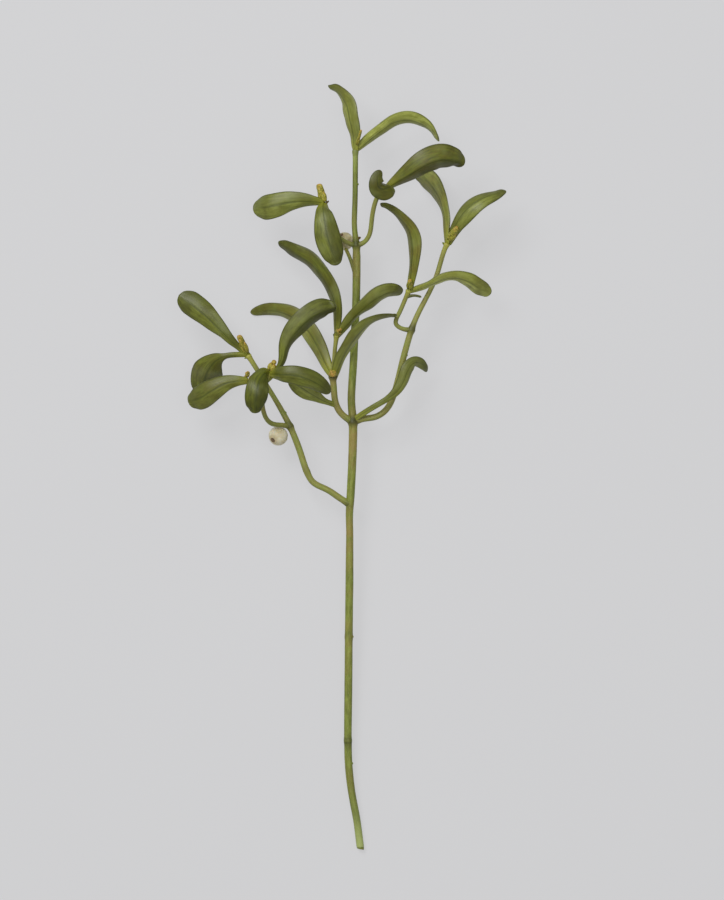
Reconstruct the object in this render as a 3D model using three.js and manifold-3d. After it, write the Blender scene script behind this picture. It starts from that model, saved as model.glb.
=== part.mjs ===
// A cut sprig of mistletoe lying on a table, in millimetres, +Z up.
// The sprig runs along +Y from the cut end of the main stem to the topmost leaves.
// It rests on the cut end of the stem and on the tips of two leaves that bend down.
import * as THREE from "three";
import { mergeVertices } from "three/addons/utils/BufferGeometryUtils.js";
import Module from "manifold-3d";

const wasm = await Module();
wasm.setup();

// ---- Driving dimensions ----
const SEAT_GAP = 0.3; // clearance between a piece and what it grows on
const STEM_SIDES = 8; // corners of a stem's section
const STEM_STEP = 7; // length of stem between two rings
const CLOSEST_RINGS = 0.6;
const JOINT_REACH = 2.2; // how far a joint's swelling runs along the stem, each way
const JOINT_RINGS = [-1, -0.45, 0, 0.45, 1]; // where a joint's rings are, in reaches from its middle
const STEM_DOME = 0.3; // how far the middle of a stem's end stands out
const LEAF_SIDES = 8; // corners of a leaf's section
const LEAF_RINGS = 13; // sections along a leaf
const LAST_RING = 0.985; // where the last section is, as a share of the midrib
const TIP_CROWDING = 1.35; // above 1, the sections stand closer together toward the tip
const LEAF_THICKNESS = 1.1; // at the midrib
const FOOT_HALF_WIDTH = 1.35; // the narrow foot of a leaf
const FOOT_HALF_HEIGHT = 0.85;
const FLAT_FROM = 2.3; // a blade is flat where it is this many times as wide as its foot
const NECK_RUN = 0.25; // how far before its neck a blade's swelling curve begins, as a share of the midrib
const FLARE_START = 0.05; // how much of that curve is taken up by the foot
const BERRY_RADIUS = 4.35;
const SMALL_BERRY_RADIUS = 4.1;
const BERRY_SCAR_RADIUS = 1.2; // the flat scar that the flower leaves on a berry
const BUD_RADIUS = 1.0; // one bud in a cluster
const BUD_SIDES = 6; // corners of a bud's section
const BUD_ROWS = 4;
const BUD_SPREAD = 0.75; // how far a bud stands from the middle of its cluster, in bud radii
const BUD_LEAN = 0.8; // how far a bud leans outward, as the slope off its cluster's line
const BUD_SLIMNESS = 0.75; // half a bud's width, in bud radii
const BUD_LENGTH = 1.15; // half a bud's length, in bud radii
const BUD_TURN = 0.4; // radians that the first pair stands off the level
const BERRY_SIDES = 16;
const BERRY_ROWS = 10;
const TIP_ROUNDNESS = 2.4; // 2 is an ellipse, more is blunter
const POINTED_ROUNDNESS = 1.25;
const FINEST_DETAIL = 0.02; // faces smaller than this are joined up where buds meet
const RING_JOIN = 1e-4; // vertices nearer than this are one
const SPAN_STEPS = 24; // straight pieces that a curve is measured in, between two of its points

// ---- Finishes ----
function finish(color, roughness) {
  return new THREE.MeshStandardMaterial({ color, roughness, metalness: 0 });
}
const FINISHES = {
  stem: () => finish(0x6f7a2c, 0.55),
  leaf: () => finish(0x5a6629, 0.45),
  bud: () => finish(0x9a9a3c, 0.6),
  berry: () => finish(0xd9d6bf, 0.35),
};

// ---- Stems ----
// Each point of a stem is x, y, z, radius and, where the stem has a joint, how far the joint stands out.
const STEMS = {
  main_stem: [
    [3.9, -1, 1.6, 1.6],
    [2.2, 12, 2.5, 1.6],
    [0, 24, 3.7, 1.6],
    [-1.4, 36, 4.5, 1.65],
    [-1.8, 48, 5.4, 1.65, 0.2],
    [-1.6, 70, 6.9, 1.7],
    [-1.4, 95, 8.6, 1.7, 0.17],
    [-1.1, 120, 10.4, 1.7],
    [-1.0, 144, 12.1, 1.55],
    [-1.1, 151, 12.6, 1.6],
    [-0.7, 157, 13, 1.75],
    [0.2, 175, 14.2, 1.8],
    [0.5, 192, 15.4, 1.85, 0.6],
    [-0.2, 201, 16, 1.65],
    [0.8, 221, 17.4, 1.65],
    [2, 250, 19.5, 1.7],
    [2.1, 266, 20.6, 1.75],
    [2, 271.5, 21, 1.5, 0.5],
    [1.2, 280, 21.6, 1.15],
    [1.5, 295, 22.6, 1.15],
    [1.6, 313.5, 23.9, 1.15, 0.3],
    [1.6, 315, 24, 1.1],
  ],
  left_branch: [
    [-2.2, 152, 12.7, 1.3],
    [-3.4, 155.1, 13, 1.4],
    [-6, 158.2, 13.5, 1.4],
    [-11.4, 161.7, 14.3, 1.35],
    [-17.7, 165.2, 15, 1.35],
    [-20.4, 170, 15.5, 1.4, 0.15],
    [-23.8, 180, 16, 1.4],
    [-27.8, 190, 17, 1.35, 0.4],
    [-33.2, 200, 18, 1.15],
    [-38, 208, 19.5, 1.05],
    [-43.5, 217, 21, 1.05],
    [-47, 222.5, 22, 1.2, 0.4],
  ],
  left_side_twig: [
    [-27.8, 190, 17, 1.0],
    [-32, 190.8, 19, 1.0],
    [-35.5, 191.2, 21, 1.05],
    [-38, 193, 23, 1.0],
    [-39.6, 196.5, 25, 1.0],
    [-40.3, 202, 27.5, 1.0, 0.3],
    [-39.5, 208, 29.7, 1.0],
    [-36.8, 214.5, 31.8, 1.1, 0.3],
  ],
  left_short_twig: [
    [-40.3, 202, 27.5, 0.9],
    [-42.5, 206.5, 27.3, 0.9],
    [-46.8, 210.6, 26.5, 1.1, 0.3],
  ],
  middle_branch: [
    [0.5, 192, 15.4, 1.4],
    [-2.5, 193.8, 16, 1.4],
    [-5.6, 197, 16.8, 1.4],
    [-7.6, 202, 17.5, 1.4],
    [-8.2, 208, 18.3, 1.4],
    [-8.5, 212.5, 19, 1.4, 0.7],
    [-8.2, 217, 19.5, 0.9],
    [-7.6, 225, 20.3, 0.9],
    [-6.8, 231.5, 21, 1.1, 0.6],
  ],
  right_branch: [
    [0.5, 192, 15.4, 1.4],
    [5, 193.5, 15.5, 1.4],
    [10.5, 194.4, 15.7, 1.35],
    [15.7, 198, 16.1, 1.35],
    [19.4, 206, 16.8, 1.35],
    [22.7, 219, 18, 1.35],
    [26.8, 233.5, 20, 1.35, 0.4],
    [29.4, 240, 20.2, 1.15],
    [32.2, 245.5, 20.5, 1.1],
    [35.1, 251, 20.8, 1.05],
    [38.8, 260, 21.2, 1.05],
    [41.6, 269.3, 22, 1.05],
    [43.1, 272.7, 22.3, 1.2, 0.4],
  ],
  right_side_twig: [
    [26.8, 233.5, 20, 0.95],
    [22, 234.4, 21, 0.95],
    [19.9, 236.2, 21.6, 0.95],
    [21, 240.5, 22.6, 0.95],
    [24.1, 247.5, 24.5, 0.95],
    [25.8, 251.6, 26, 1.1, 0.5],
  ],
  right_stub: [
    [25.8, 250.4, 25.6, 0.6],
    [28.2, 248.9, 25, 0.55],
    [31.4, 248.2, 24.4, 0.5],
  ],
  top_right_twig: [
    [2, 271.5, 21, 1.0],
    [5.4, 272.9, 22, 1.0],
    [7.6, 275.6, 23.2, 1.0],
    [8.8, 281.5, 25.3, 1.0],
    [10.4, 290.3, 29, 1.0],
    [12.8, 294.8, 30.8, 1.0],
    [17, 297.3, 32, 1.15, 0.3],
  ],
  top_left_twig: [
    [2, 271.5, 21, 0.95],
    [-3, 273.3, 22.5, 0.95],
    [-7, 276.5, 24.3, 0.95],
    [-10.5, 283, 26, 0.95],
    [-12.5, 290.5, 27.5, 1.1, 0.4],
  ],
  berry_stalk: [
    [1.9, 262, 20.3, 0.8],
    [-0.9, 266, 18.8, 0.8],
    [-2.9, 270.5, 16.6, 0.8],
  ],
};

// ---- Leaves ----
// path: the midrib from its foot to its tip. roll: degrees that the blade turns about the midrib, foot to
// tip, positive with its right side up. fold: degrees that each half bends, positive to a gutter, negative
// to a roof. half: midrib to margin. neck and belly: where the blade starts and where it is widest.
// A tip is round unless it is said to be pointed. on: what the leaf grows on, and the leaf it stands beside.
const LEAVES = {
  top_leaf_left: {
    on: ["main_stem"],
    path: [
      [1.3, 314.5, 24], [0.6, 322, 26.5], [-0.9, 329, 27.5], [-2.6, 335.5, 26.5], [-5.8, 340.4, 23],
      [-10.6, 343.5, 19],
    ],
    roll: [36, 38, 42, 56, 76],
    fold: -17,
    half: 4.8,
    neck: 0.02,
    belly: 0.55,
    pointed: true,
  },
  top_leaf_right: {
    on: ["main_stem", "top_leaf_left"],
    path: [
      [2.2, 314.5, 24], [6.8, 318.2, 25], [12.8, 323, 26], [19.5, 327, 25.5],
      [26.5, 327.9, 23], [32.7, 326, 19], [36.7, 322.8, 14.5], [39.3, 318.9, 11],
    ],
    roll: [-45, -52, -55, -60, -80],
    fold: -14,
    half: 4.8,
    neck: 0.05,
    belly: 0.5,
    pointed: true,
  },
  upper_right_leaf_long: {
    on: ["top_right_twig"],
    path: [
      [17.3, 298, 32], [20.9, 299.9, 34.5], [26.3, 303.1, 37], [33, 307, 38.5], [40, 309.3, 37.5],
      [46, 309, 34], [50.4, 307.6, 30],
    ],
    roll: [-25, -30, -25],
    fold: -32,
    half: 7.4,
    neck: 0,
    belly: 0.6,
  },
  upper_right_leaf_short: {
    on: ["top_right_twig", "upper_right_leaf_long"],
    path: [
      [18.3, 298.2, 32.3], [16.9, 297.1, 36], [14.4, 296.1, 39.8], [12.1, 296.8, 42.2],
      [11.3, 299.2, 43.3], [11.7, 302, 43.2], [13, 304.5, 42.3],
    ],
    roll: [-10, -20, -22, -20, -15],
    fold: -14,
    half: 5,
    neck: 0.12,
    belly: 0.42,
    pointed: true,
  },
  right_leaf_inner: {
    on: ["right_branch"],
    path: [
      [42.6, 272.8, 22.3], [42.2, 283, 22], [40.3, 291, 19], [37, 297.8, 13], [33, 302.3, 6],
      [28.8, 305.2, 0.3],
    ],
    roll: [55, 60, 40, 10],
    fold: -17,
    half: 5.3,
    neck: 0.1,
    belly: 0.7,
  },
  right_leaf_outer: {
    on: ["right_branch", "right_leaf_inner"],
    path: [
      [43.8, 273.2, 22.5], [47, 281, 26], [51.6, 287.2, 28], [57.2, 291.3, 28.5],
      [63.3, 294.1, 27], [69.4, 295.9, 24],
    ],
    roll: [30, 35, 35],
    fold: -20,
    half: 5,
    neck: 0.1,
    belly: 0.5,
    pointed: true,
  },
  right_leaf_tall: {
    on: ["right_side_twig"],
    path: [
      [26, 251.6, 26], [27, 260, 29], [27.5, 270, 31], [25.5, 278.5, 31], [20.5, 285, 29],
      [12.8, 290.2, 25.5],
    ],
    roll: [45, 50, 55, 65, 75],
    fold: -14,
    half: 5,
    neck: 0.08,
    belly: 0.55,
  },
  right_leaf_low: {
    on: ["right_side_twig", "right_leaf_tall"],
    path: [
      [26.3, 251, 26], [32.5, 253, 27], [38, 255, 27.5], [43, 256.6, 27.5], [48, 256.9, 27],
      [52.5, 255.3, 25], [57, 252.5, 22], [62.5, 249.8, 18],
    ],
    roll: [-40, -60, -62, -50, -30, -20],
    fold: -14,
    half: 4.4,
    neck: 0.05,
    belly: 0.75,
  },
  top_left_leaf_outer: {
    on: ["top_left_twig"],
    path: [
      [-12.5, 290.5, 27.5], [-17, 291, 28.5], [-23, 291.3, 29], [-30, 290.3, 29], [-38, 288.6, 27],
      [-44.4, 287.6, 23],
    ],
    roll: [40, 30, 0, 0],
    fold: -17,
    half: 5.9,
    neck: -0.05,
    belly: 0.78,
  },
  top_left_leaf_inner: {
    on: ["top_left_twig", "top_left_leaf_outer"],
    path: [
      [-12.7, 290.3, 27.5], [-12.9, 287.5, 32.5], [-12, 281.5, 35], [-10.7, 274.5, 36],
      [-8.6, 268, 35], [-6.4, 262.4, 33],
    ],
    roll: [0, 0, 0],
    fold: -18,
    half: 6.1,
    neck: 0,
    belly: 0.6,
  },
  middle_leaf_upper_left: {
    on: ["middle_branch"],
    path: [
      [-7.2, 231.5, 21], [-7, 240, 23], [-8.2, 248, 24.5], [-12, 256, 25], [-18, 263, 23.5],
      [-25, 267.8, 20], [-33.2, 273.2, 15],
    ],
    roll: [50, 50, 48, 55],
    fold: -17,
    half: 5.2,
    neck: 0.05,
    belly: 0.6,
  },
  middle_leaf_upper_right: {
    on: ["middle_branch", "middle_leaf_upper_left"],
    path: [
      [-6.2, 231.5, 21], [-3, 235, 24.5], [1, 239.2, 27], [5.5, 243.6, 28.5], [11, 247.7, 28.5],
      [17, 250.4, 26.5], [22.8, 250.8, 20],
    ],
    roll: [-40, -48, -45, -35],
    fold: -17,
    half: 4.7,
    neck: 0.05,
    belly: 0.6,
  },
  middle_leaf_lower_left: {
    on: ["middle_branch"],
    path: [
      [-9, 212.5, 19], [-12.2, 219, 18], [-15.8, 227, 15], [-20.8, 234.8, 11], [-28, 240.3, 7],
      [-37, 242.8, 3.6], [-46, 241.8, 1.1],
    ],
    roll: [25, 25, 35, 50, 20],
    fold: -14,
    half: 4.9,
    neck: 0,
    belly: 0.5,
  },
  middle_leaf_lower_right: {
    on: ["middle_branch", "middle_leaf_lower_left"],
    path: [
      [-7.9, 212.5, 19], [-4.9, 219.3, 23], [-1.6, 225.7, 26], [2.6, 231.7, 27.5],
      [8, 236.6, 27.5], [13.5, 238.7, 27], [17.5, 239.5, 26.4], [20.3, 240.2, 25.6],
    ],
    roll: [-45, -52, -58, -75, -85],
    fold: -14,
    half: 5.1,
    neck: 0.05,
    belly: 0.5,
  },
  left_leaf_crossing: {
    on: ["left_side_twig"],
    path: [
      [-36.3, 214.5, 31.8], [-33, 216.4, 31.8], [-30.8, 220, 33], [-29.6, 224.8, 34.5],
      [-26.6, 230.3, 36], [-21, 236.3, 37], [-14.6, 240.9, 36], [-6.9, 243.9, 33],
    ],
    roll: [-20, -30, -32, -28],
    fold: -33,
    half: 6.6,
    neck: 0.2,
    belly: 0.7,
  },
  left_leaf_right: {
    on: ["left_side_twig", "left_leaf_crossing"],
    path: [
      [-36.3, 213.5, 32], [-31.5, 213.3, 38.5], [-25, 212.8, 40], [-18, 210.6, 39],
      [-13.2, 207.8, 36], [-9.9, 205, 32],
    ],
    roll: [-10, -10, -10],
    fold: -18,
    half: 4.6,
    neck: -0.1,
    belly: 0.5,
  },
  left_leaf_front: {
    on: ["left_side_twig", "left_leaf_right", "left_leaf_crossing"],
    path: [
      [-37.4, 214, 32], [-39.3, 213.4, 37.5], [-41.4, 210.2, 41], [-42.6, 204.6, 42.5],
      [-43.2, 200, 41.5], [-43.1, 196, 39.3],
    ],
    roll: [0, 0, 0],
    fold: -18,
    half: 5.5,
    neck: 0,
    belly: 0.6,
  },
  left_leaf_outer: {
    on: ["left_short_twig"],
    path: [
      [-46.8, 210.6, 26.5], [-52, 210.4, 28], [-57, 209.2, 28.5], [-62.5, 206.4, 27.5],
      [-68, 203, 25], [-73.5, 200.8, 21],
    ],
    roll: [10, 5, 0],
    fold: -18,
    half: 5.8,
    neck: 0.05,
    belly: 0.75,
  },
  left_leaf_drooping: {
    on: ["left_branch"],
    path: [
      [-47, 222.2, 22], [-54, 222.3, 23], [-60, 220.5, 22], [-64.4, 216, 18], [-66.7, 209.5, 12],
      [-67, 203.5, 7],
    ],
    roll: [20, 10, 0, 0],
    fold: -18,
    half: 7.4,
    neck: 0.45,
    belly: 0.64,
  },
  left_leaf_upper: {
    on: ["left_branch", "left_leaf_drooping"],
    path: [
      [-47.4, 222.9, 22], [-53, 227.5, 25], [-60, 234.4, 27], [-67, 241, 27.5], [-73, 245.8, 26],
      [-77.7, 249.2, 24],
    ],
    roll: [20, 20, 10, 0],
    fold: -18,
    half: 5.8,
    neck: 0.2,
    belly: 0.82,
  },
  middle_leaf_hidden: {
    on: ["middle_branch"],
    path: [
      [-7.3, 199.8, 17.2], [-13, 201.8, 19], [-19, 205.2, 20], [-24, 208.3, 20],
      [-28.3, 211.2, 19],
    ],
    roll: [20, 10, 0],
    fold: -17,
    half: 4.2,
    neck: 0.35,
    belly: 0.65,
  },
  right_leaf_stalked: {
    on: ["main_stem", "right_branch"],
    path: [
      [1.3, 193, 16.8], [5.2, 196, 19], [10, 199, 21], [15.6, 202.3, 22.5], [20.2, 206, 23.5],
      [23.4, 211, 24.5], [26, 217, 24.5], [29, 219, 22.5], [32.2, 217.4, 18.5], [33.8, 214.8, 14.5],
    ],
    roll: [0, 0, 0, -25, -25, -15, 10],
    fold: -18,
    half: 3.3,
    neck: 0.5,
    belly: 0.7,
    pointed: true,
  },
};

// ---- Bud clusters ----
// Each cluster is a spike of buds in crossed pairs, from its foot to its tip.
const BUD_CLUSTERS = {
  buds_top: {
    on: ["main_stem", "top_leaf_left", "top_leaf_right"],
    foot: [2.9, 316.4, 27.2],
    tip: [3.6, 323.4, 30.4],
    pairs: 3,
    size: 0.75,
  },
  buds_top_left: {
    on: ["top_left_twig", "top_left_leaf_outer", "top_left_leaf_inner"],
    foot: [-12.4, 291.8, 27.5],
    tip: [-14.9, 297.8, 28.5],
    pairs: 3,
    size: 1.15,
  },
  buds_right: {
    on: ["right_branch", "right_leaf_inner", "right_leaf_outer"],
    foot: [44.2, 274.2, 24.4],
    tip: [47.2, 279.6, 26.4],
    pairs: 3,
    size: 1.2,
  },
  buds_right_side: {
    on: ["right_side_twig", "right_leaf_tall", "right_leaf_low"],
    foot: [25.6, 252.4, 28],
    tip: [26.2, 255.4, 30],
    pairs: 2,
    size: 1.3,
  },
  buds_middle_upper: {
    on: ["middle_branch", "middle_leaf_upper_left", "middle_leaf_upper_right"],
    foot: [-6.4, 231.6, 22.8],
    tip: [-5.4, 234.4, 24.6],
    pairs: 2,
    size: 1.1,
  },
  buds_middle_lower: {
    on: ["middle_branch", "middle_leaf_lower_left", "middle_leaf_lower_right"],
    foot: [-8.5, 212, 21.2],
    tip: [-8.8, 215.4, 22.8],
    pairs: 2,
    size: 1.3,
  },
  buds_left: {
    on: ["left_branch", "left_leaf_drooping", "left_leaf_upper"],
    foot: [-47.6, 223.6, 23.6],
    tip: [-50.4, 230.6, 26.5],
    pairs: 3,
    size: 1.2,
  },
  buds_left_side: {
    on: ["left_side_twig", "left_leaf_crossing", "left_leaf_right", "left_leaf_front"],
    foot: [-36, 216.2, 31.8],
    tip: [-35, 218.8, 32.4],
    pairs: 2,
    size: 1.15,
  },
  buds_left_short: {
    on: ["left_short_twig", "left_leaf_outer"],
    foot: [-46.6, 211.6, 26.5],
    tip: [-47, 214, 27],
    pairs: 2,
    size: 1.0,
  },
};

// ---- Berries ----
// beside: the middle of the stem that carries it. away: that stem's radius. toward: the way out to the
// berry. scar: the way its scar faces.
const BERRIES = {
  berry_left: {
    on: "left_branch",
    beside: [-27.5, 185.7, 16.6],
    away: 1.4,
    toward: [-1, 0.02, -0.15],
    scar: [-0.75, -0.6, 0.35],
    radius: BERRY_RADIUS,
  },
  berry_top: {
    on: "berry_stalk",
    beside: [-2.9, 270.5, 16.6],
    away: 0,
    toward: [-0.1, 0.75, -0.6],
    scar: [-0.5, 0.8, 0.2],
    radius: SMALL_BERRY_RADIUS,
  },
};

// A smooth line through a list of points, measured by the distance along it.
class Spine {
  constructor(points) {
    const places = points.map(([x, y, z]) => new THREE.Vector3(x, y, z));
    this.curve = new THREE.CatmullRomCurve3(places, false, "centripetal");
    this.curve.arcLengthDivisions = SPAN_STEPS * (points.length - 1);
    const lengths = this.curve.getLengths();
    this.stations = points.map((point, index) => lengths[SPAN_STEPS * index]);
    this.length = lengths[lengths.length - 1];
  }

  // The place at a distance, with its own level side direction and the normal above it, rolled by an angle.
  frameAt(distance, roll = 0) {
    const share = THREE.MathUtils.clamp(distance / this.length, 0, 1);
    const centre = this.curve.getPointAt(share);
    const along = this.curve.getTangentAt(share);
    const side = new THREE.Vector3().crossVectors(along, new THREE.Vector3(0, 0, 1)).normalize();
    side.applyAxisAngle(along, -roll);
    const normal = new THREE.Vector3().crossVectors(side, along);
    return { centre, along, side, normal };
  }
}

// The value at a place in an evenly spread list, going smoothly from one entry to the next.
function spread(values, share) {
  const place = THREE.MathUtils.clamp(share, 0, 1) * (values.length - 1);
  const index = Math.min(Math.floor(place), values.length - 2);
  return values[index] + (values[index + 1] - values[index]) * (place - index);
}

// A closed tube through rings. Each ring has a frame, a half width, a half height and a slope that lifts
// its two sides. dome is how far the middle of each end stands out.
function skin(rings, sides, dome) {
  const geometry = new THREE.CylinderGeometry(1, 1, 1, sides, rings.length - 1);
  const position = geometry.attributes.position;
  const corner = new THREE.Vector3();
  for (let index = 0; index < position.count; index += 1) {
    corner.fromBufferAttribute(position, index);
    const row = Math.round((corner.y + 0.5) * (rings.length - 1));
    const ring = rings[row];
    const across = corner.x * ring.halfWidth;
    const lift = corner.z * ring.halfHeight + Math.abs(across) * ring.slope;
    const place = ring.frame.centre.clone();
    place.addScaledVector(ring.frame.side, across);
    place.addScaledVector(ring.frame.normal, lift);
    if (Math.hypot(corner.x, corner.z) < 0.5) {
      place.addScaledVector(ring.frame.along, row === 0 ? -dome : dome);
    }
    position.setXYZ(index, place.x, place.y, place.z);
  }
  return merged(geometry);
}

function merged(geometry) {
  geometry.deleteAttribute("normal");
  geometry.deleteAttribute("uv");
  return mergeVertices(geometry, RING_JOIN);
}

// The same rings with both ends moved outward.
function lengthened(rings, grow) {
  const first = rings[0].frame;
  const last = rings[rings.length - 1].frame;
  first.centre.addScaledVector(first.along, -grow);
  last.centre.addScaledVector(last.along, grow);
  return rings;
}

// Distances of a stem's rings: even steps, with more of them at each joint.
function ringDistances(spine, points) {
  const distances = [0, spine.length];
  points.forEach((point, index) => {
    if (index === 0) {
      return;
    }
    const start = spine.stations[index - 1];
    const stretch = spine.stations[index] - start;
    const steps = Math.max(1, Math.round(stretch / STEM_STEP));
    for (let step = 0; step < steps; step += 1) {
      distances.push(start + (stretch * step) / steps);
    }
    if (point[4]) {
      JOINT_RINGS.forEach((share) => distances.push(spine.stations[index] + share * JOINT_REACH));
    }
  });
  const onStem = distances.filter((distance) => distance >= 0 && distance <= spine.length);
  onStem.sort((one, other) => one - other);
  return onStem.filter((distance, index) => index === 0 || distance - onStem[index - 1] > CLOSEST_RINGS);
}

function stemRadius(spine, points, distance) {
  let radius = points[points.length - 1][3];
  for (let index = 1; index < points.length; index += 1) {
    if (distance <= spine.stations[index]) {
      const start = spine.stations[index - 1];
      const share = (distance - start) / (spine.stations[index] - start);
      const eased = THREE.MathUtils.smoothstep(share, 0, 1);
      radius = THREE.MathUtils.lerp(points[index - 1][3], points[index][3], eased);
      break;
    }
  }
  points.forEach((point, index) => {
    const away = (distance - spine.stations[index]) / (0.5 * JOINT_REACH);
    radius += (point[4] ?? 0) * Math.exp(-away * away);
  });
  return radius;
}

function stemShape(points, grow) {
  const spine = new Spine(points);
  const rings = ringDistances(spine, points).map((distance) => {
    const radius = stemRadius(spine, points, distance) + grow;
    return { frame: spine.frameAt(distance), halfWidth: radius, halfHeight: radius, slope: 0 };
  });
  return skin(lengthened(rings, grow), STEM_SIDES, STEM_DOME);
}

// Half the width of a blade: a round foot, a long swelling and a blunt round tip.
function bladeHalfWidth(leaf, share) {
  if (share > leaf.belly) {
    const past = (share - leaf.belly) / (1 - leaf.belly);
    const roundness = leaf.pointed ? POINTED_ROUNDNESS : TIP_ROUNDNESS;
    return leaf.half * Math.sqrt(Math.max(0, 1 - past ** roundness));
  }
  const risen = THREE.MathUtils.smoothstep(share, leaf.neck - NECK_RUN, leaf.belly);
  const flare = Math.max(0, (risen - FLARE_START) / (1 - FLARE_START));
  return FOOT_HALF_WIDTH + (leaf.half - FOOT_HALF_WIDTH) * flare;
}

function leafShape(leaf, grow) {
  const spine = new Spine(leaf.path);
  const rings = [];
  for (let index = 0; index < LEAF_RINGS; index += 1) {
    const share = LAST_RING * (1 - (1 - index / (LEAF_RINGS - 1)) ** TIP_CROWDING);
    const halfWidth = bladeHalfWidth(leaf, share);
    const flat = THREE.MathUtils.smoothstep(halfWidth, FOOT_HALF_WIDTH, FLAT_FROM * FOOT_HALF_WIDTH);
    const halfHeight = THREE.MathUtils.lerp(FOOT_HALF_HEIGHT, 0.5 * LEAF_THICKNESS, flat);
    const roll = THREE.MathUtils.degToRad(spread(leaf.roll, share));
    const fold = THREE.MathUtils.degToRad(leaf.fold);
    rings.push({
      frame: spine.frameAt(share * spine.length, roll),
      halfWidth: (halfWidth + grow) * Math.cos(fold),
      halfHeight: halfHeight + grow,
      slope: Math.tan(fold) * flat,
    });
  }
  const dome = (1 - LAST_RING) * spine.length;
  return skin(lengthened(rings, grow), LEAF_SIDES, dome);
}

// ---- Solids ----
function toSolid(geometry) {
  const vertProperties = new Float32Array(geometry.attributes.position.array);
  const triVerts = new Uint32Array(geometry.index.array);
  return new wasm.Manifold(new wasm.Mesh({ numProp: 3, vertProperties, triVerts }));
}

function toGeometry(solid) {
  const mesh = solid.getMesh();
  const geometry = new THREE.BufferGeometry();
  geometry.setAttribute("position", new THREE.BufferAttribute(new Float32Array(mesh.vertProperties), 3));
  geometry.setIndex(new THREE.BufferAttribute(new Uint32Array(mesh.triVerts), 1));
  return geometry;
}

// The shape of any stem or leaf by its name, grown by a clearance.
function shapeOf(name, grow) {
  if (STEMS[name]) {
    return stemShape(STEMS[name], grow);
  }
  return leafShape(LEAVES[name], grow);
}

// A solid cut back from what it grows on, so that a seat gap is left. A crumb cut loose is dropped.
function seated(solid, hosts) {
  const cut = hosts.reduce((rest, host) => rest.subtract(toSolid(shapeOf(host, SEAT_GAP))), solid);
  return cut.decompose().sort((one, other) => other.volume() - one.volume())[0];
}

// One bud: a long ball about a centre, pointing a way.
function bud(centre, direction, halfWidth, halfLength) {
  const shape = new THREE.SphereGeometry(1, BUD_SIDES, BUD_ROWS).scale(halfWidth, halfLength, halfWidth);
  shape.applyQuaternion(new THREE.Quaternion().setFromUnitVectors(new THREE.Vector3(0, 1, 0), direction));
  shape.translate(centre.x, centre.y, centre.z);
  return toSolid(merged(shape));
}

// A core with crossed pairs of buds up its sides and one bud at its tip.
function budCluster(cluster) {
  const foot = new THREE.Vector3(...cluster.foot);
  const tip = new THREE.Vector3(...cluster.tip);
  const along = tip.clone().sub(foot).normalize();
  const side = new THREE.Vector3().crossVectors(along, new THREE.Vector3(0, 0, 1)).normalize();
  const radius = BUD_RADIUS * cluster.size;
  const halfWidth = BUD_SLIMNESS * radius;
  let solid = bud(foot.clone().lerp(tip, 0.5), along, halfWidth, 0.5 * foot.distanceTo(tip));
  for (let pair = 0; pair < cluster.pairs; pair += 1) {
    const level = (pair + 0.4) / cluster.pairs;
    const outward = side.clone().applyAxisAngle(along, (pair * Math.PI) / 2 + BUD_TURN);
    [-1, 1].forEach((sign) => {
      const direction = along.clone().addScaledVector(outward, sign * BUD_LEAN).normalize();
      const centre = foot.clone().lerp(tip, level).addScaledVector(outward, sign * BUD_SPREAD * radius);
      solid = solid.add(bud(centre, direction, halfWidth, BUD_LENGTH * radius));
    });
  }
  return solid.add(bud(tip, along, halfWidth, radius)).simplify(FINEST_DETAIL);
}

// A ball beside a place on a stem, with a flat round scar.
function berry({ beside, away, toward, scar, radius }) {
  const outward = new THREE.Vector3(...toward).normalize();
  const centre = new THREE.Vector3(...beside).addScaledVector(outward, away + radius);
  const scarAngle = Math.asin(BERRY_SCAR_RADIUS / radius);
  const profile = [new THREE.Vector2(0, -radius)];
  for (let row = 1; row <= BERRY_ROWS; row += 1) {
    const angle = -Math.PI / 2 + ((Math.PI - scarAngle) * row) / BERRY_ROWS;
    profile.push(new THREE.Vector2(radius * Math.cos(angle), radius * Math.sin(angle)));
  }
  profile.push(new THREE.Vector2(0, radius * Math.cos(scarAngle)));
  const shape = new THREE.LatheGeometry(profile, BERRY_SIDES);
  const upright = new THREE.Vector3(0, 1, 0);
  const scarWay = new THREE.Vector3(...scar).normalize();
  shape.applyQuaternion(new THREE.Quaternion().setFromUnitVectors(upright, scarWay));
  shape.translate(centre.x, centre.y, centre.z);
  return toSolid(merged(shape));
}

// ---- Assembly ----
const sprig = new THREE.Group();

function place(name, geometry, finishName) {
  const mesh = new THREE.Mesh(geometry, FINISHES[finishName]());
  mesh.name = name;
  sprig.add(mesh);
}

const STEM_HOSTS = {
  left_branch: ["main_stem"],
  left_side_twig: ["left_branch"],
  left_short_twig: ["left_side_twig"],
  middle_branch: ["main_stem"],
  right_branch: ["main_stem"],
  right_side_twig: ["right_branch"],
  right_stub: ["right_side_twig", "right_leaf_low"],
  top_right_twig: ["main_stem"],
  top_left_twig: ["main_stem"],
  berry_stalk: ["main_stem"],
};

Object.keys(STEMS).forEach((name) => {
  const solid = toSolid(stemShape(STEMS[name], 0));
  place(name, toGeometry(seated(solid, STEM_HOSTS[name] ?? [])), "stem");
});

Object.entries(LEAVES).forEach(([name, leaf]) => {
  place(name, toGeometry(seated(toSolid(leafShape(leaf, 0)), leaf.on)), "leaf");
});

Object.entries(BUD_CLUSTERS).forEach(([name, cluster]) => {
  place(name, toGeometry(seated(budCluster(cluster), cluster.on).simplify(FINEST_DETAIL)), "bud");
});

Object.entries(BERRIES).forEach(([name, entry]) => {
  place(name, toGeometry(seated(berry(entry), [entry.on])), "berry");
});

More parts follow.
